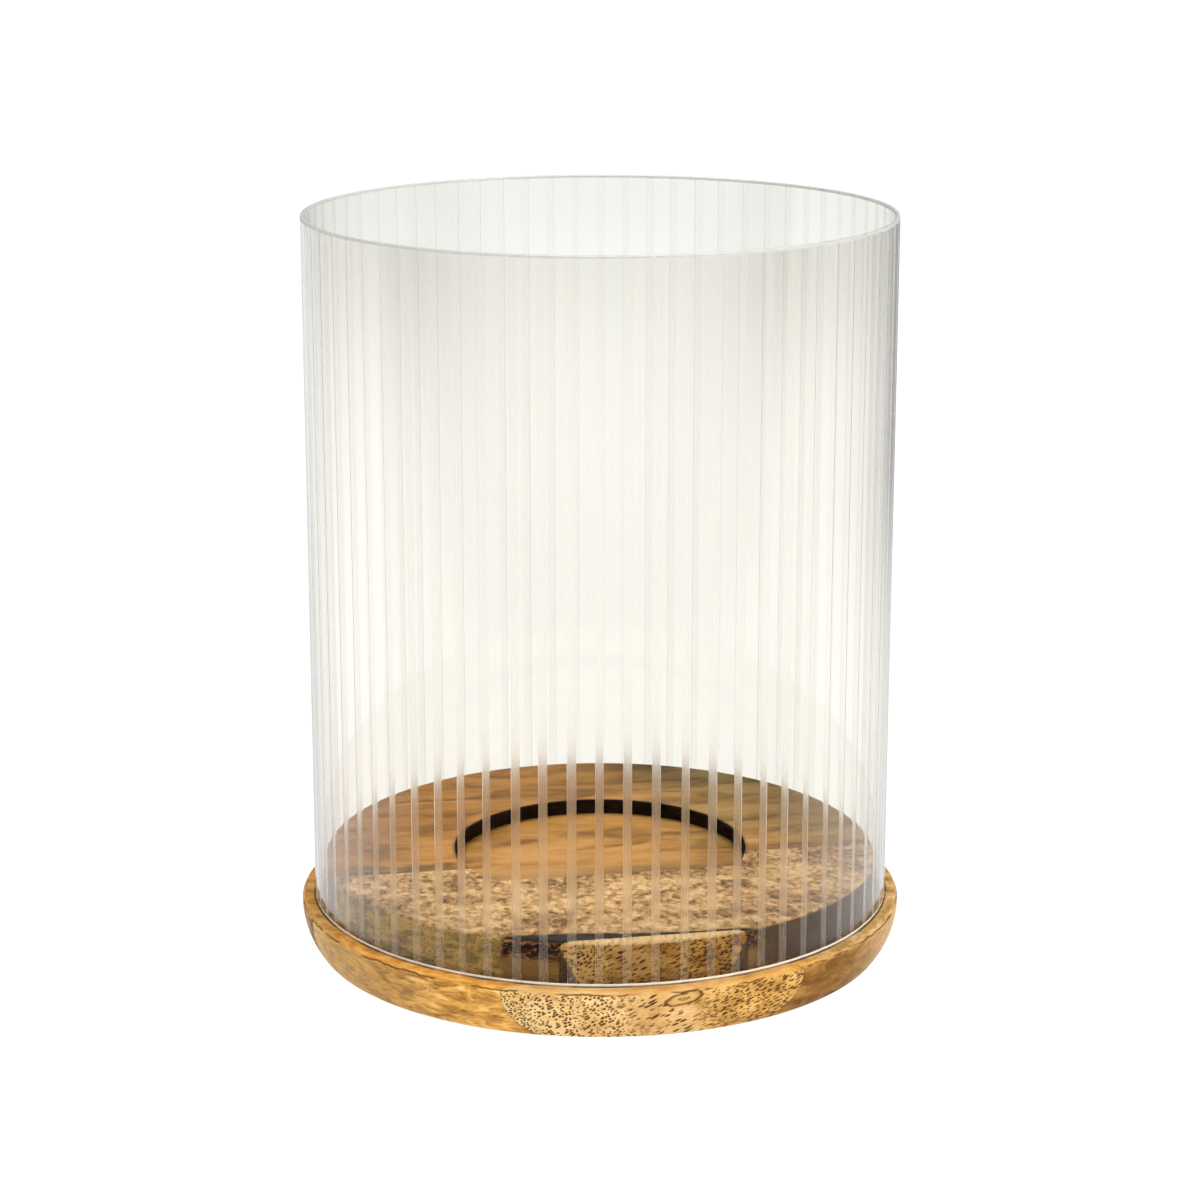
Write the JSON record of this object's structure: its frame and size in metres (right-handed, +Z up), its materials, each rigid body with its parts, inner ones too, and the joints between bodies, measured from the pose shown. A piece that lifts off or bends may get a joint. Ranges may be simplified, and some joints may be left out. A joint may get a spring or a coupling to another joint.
{
  "type": "hurricane candle holder",
  "caption": "Clear fluted glass cylinder, open at both ends, that lifts off the ledge of a turned wooden base with a round candle recess.",
  "frame": {"origin": "centre of the underside of the wooden base", "axes": "+Z up along the common axis of the base and the glass; -Y is the front, the side with the narrow edge board"},
  "size_m": [0.163, 0.163, 0.199],
  "materials": {
    "glass": "clear, polished, with matt ground flutes",
    "wood_pale": "clear satin lacquer on pale open-pored wood",
    "wood_front": "clear satin lacquer on golden brown wood with dark streaks",
    "wood_middle": "clear satin lacquer on orange-brown wood",
    "wood_back": "clear satin lacquer on brown wood"
  },
  "bodies": {
    "base": {"front_edge_stave": "wood_pale", "front_stave": "wood_front", "middle_stave": "wood_middle", "back_stave": "wood_back"},
    "glass": {"glass_sleeve": "glass"}
  },
  "joints": [
    {"name": "glass_lift", "type": "slide", "parent": "base", "child": "glass", "axis": [0, 0, 1], "range_m": [0, 0.2]}
  ]
}
